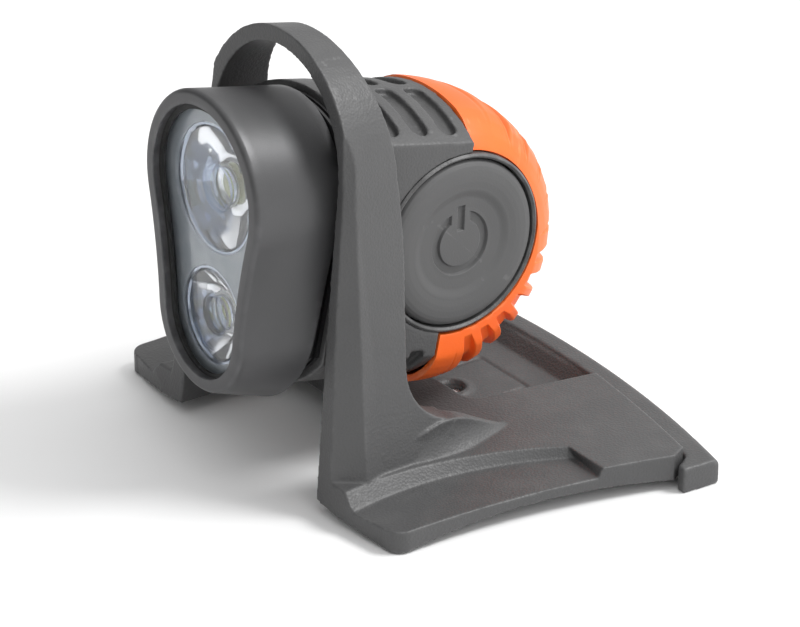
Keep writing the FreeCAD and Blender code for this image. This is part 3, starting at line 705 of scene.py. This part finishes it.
def buildButton():
    s = buttonShape
    points = []
    for i in range(1, s["rings"] + 1):
        r = s["radius"] * i / s["rings"]
        for j in range(s["steps"]):
            turn = 2 * math.pi * j / s["steps"]
            y, z = r * math.sin(turn), r * math.cos(turn)
            sunk = 0.0
            if r < s["signReach"]:
                sunk = s["signDepth"] * (1 - smoothStep(*s["signEdge"], signDistance(y, z)))
            points.append((s["faceX"] + buttonDish(r) - sunk, y, z))
    steps = s["steps"]
    faces = ringsToFaces(s["rings"], steps, closed=False)
    hub = len(points)
    points.append((s["faceX"] + buttonDish(0), 0, 0))
    faces += [(hub, (j + 1) % steps, j) for j in range(steps)]
    rim = (s["rings"] - 1) * steps
    for x, r in ((s["backX"], s["radius"]), (s["backX"], s["radius"] * s["backRing"])):
        start = len(points)
        for j in range(steps):
            turn = 2 * math.pi * j / steps
            points.append((x, r * math.sin(turn), r * math.cos(turn)))
            faces.append((rim + j, rim + (j + 1) % steps, start + (j + 1) % steps, start + j))
        rim = start
    faces.append(tuple(rim + j for j in range(steps)))
    mesh = meshFrom("buttonPad", points, faces, lampPlace @ rakeTurn)
    return settle(addObject("buttonPad", mesh), "button", "button_rubber", ["power_button"], s["crease"])


buildButton()
print("button built")


# ---- moulded grey pieces: stirrup bracket, shoe and lamp body

mouldings = {"bracket": {"body": "bracket", "voxel": 0.2, "soften": 2},
             "mounting_shoe": {"body": "shoe", "voxel": 0.26, "soften": 4},
             "body_shell": {"body": "lamp", "voxel": 0.24, "soften": 3}}
for nodeName, m in mouldings.items():
    settle(mouldedCopy(nodeName, m["voxel"], m["soften"]), m["body"], "grey_plastic", [nodeName], smoothAll)
print("moulded pieces built")


# ---- stage, light and camera

def addAreaLight(name, place, target, size, power):
    light = bpy.data.lights.new(name, "AREA")
    light.shape = "DISK"
    light.size = size
    light.energy = power
    lamp = addObject(name, light)
    lamp.location = place
    lamp.rotation_euler = (Vector(target) - Vector(place)).to_track_quat("-Z", "Y").to_euler()


floorShape = {"half": 3000.0, "drop": 0.05, "tones": ((0.9, 0.9, 0.9), (0.93, 0.93, 0.93)), "rough": 0.8,
              "cloudScale": 3.0}
roomLight = {"brightFrom": (0.42, 0.55, 0.72), "darkSide": -0.6, "brightSide": 0.9,
             "dim": 0.1, "bright": 1.25}


def buildFloor():
    s = floorShape
    corners = [(x * s["half"], y * s["half"], 0) for x, y in ((-1, -1), (1, -1), (1, 1), (-1, 1))]
    floor = addObject("floor", meshFrom("floor", corners, [(0, 1, 2, 3)]))
    floor.location.z = -s["drop"] * mm
    material = bpy.data.materials.new("paleFloor")
    material.use_nodes = True
    tree = material.node_tree
    shader = tree.nodes["Principled BSDF"]
    clouds = textureAt(tree, "ShaderNodeTexNoise", s["cloudScale"], Detail=2.0)
    tree.links.new(mixColours(tree, clouds.outputs["Fac"], *s["tones"]), shader.inputs["Base Color"])
    shader.inputs["Roughness"].default_value = s["rough"]
    floor.data.materials.append(material)


def buildRoom():
    # a plain white surround, brightest from above and behind on the button's side
    world = bpy.data.worlds.new("paleRoom")
    bpy.context.scene.world = world
    world.use_nodes = True
    tree = world.node_tree
    direction = tree.nodes.new("ShaderNodeTexCoord")
    facing = tree.nodes.new("ShaderNodeVectorMath")
    facing.operation = "DOT_PRODUCT"
    facing.inputs[1].default_value = roomLight["brightFrom"]
    tree.links.new(direction.outputs["Generated"], facing.inputs[0])
    spread = tree.nodes.new("ShaderNodeMapRange")
    tree.links.new(facing.outputs["Value"], spread.inputs["Value"])
    spread.inputs["From Min"].default_value = roomLight["darkSide"]
    spread.inputs["From Max"].default_value = roomLight["brightSide"]
    spread.inputs["To Min"].default_value = roomLight["dim"]
    spread.inputs["To Max"].default_value = roomLight["bright"]
    tree.nodes["Background"].inputs["Color"].default_value = (1.0, 1.0, 1.0, 1.0)
    tree.links.new(spread.outputs["Result"], tree.nodes["Background"].inputs["Strength"])


# each light: its place, its size across and its power, aimed at the middle of the object
lightAim = (0, 0, 0.03)
lightPlan = {"key": ((0.27, 0.33, 0.56), 0.24, 3.0), "front": ((0.8, -0.1, 0.5), 0.4, 0.3)}
buildFloor()
buildRoom()
for lightName, (place, size, power) in lightPlan.items():
    addAreaLight(lightName, place, lightAim, size, power)

cameraPlan = {"azimuth": 54.78, "elevation": 26.04, "place": (0.39078, -0.27314, 0.25051), "lens": 157.5,
              "sensor": 36.0, "clipStart": 0.02}
cameraData = bpy.data.cameras.new("camera")
cameraData.lens = cameraPlan["lens"]
cameraData.sensor_width = cameraPlan["sensor"]
cameraData.clip_start = cameraPlan["clipStart"]
camera = addObject("camera", cameraData)
camera.location = cameraPlan["place"]
camera.rotation_euler = (math.radians(90 - cameraPlan["elevation"]), 0, math.radians(cameraPlan["azimuth"]))
bpy.context.scene.camera = camera
bpy.context.scene.view_settings.view_transform = "Standard"
print("stage, light and camera set")
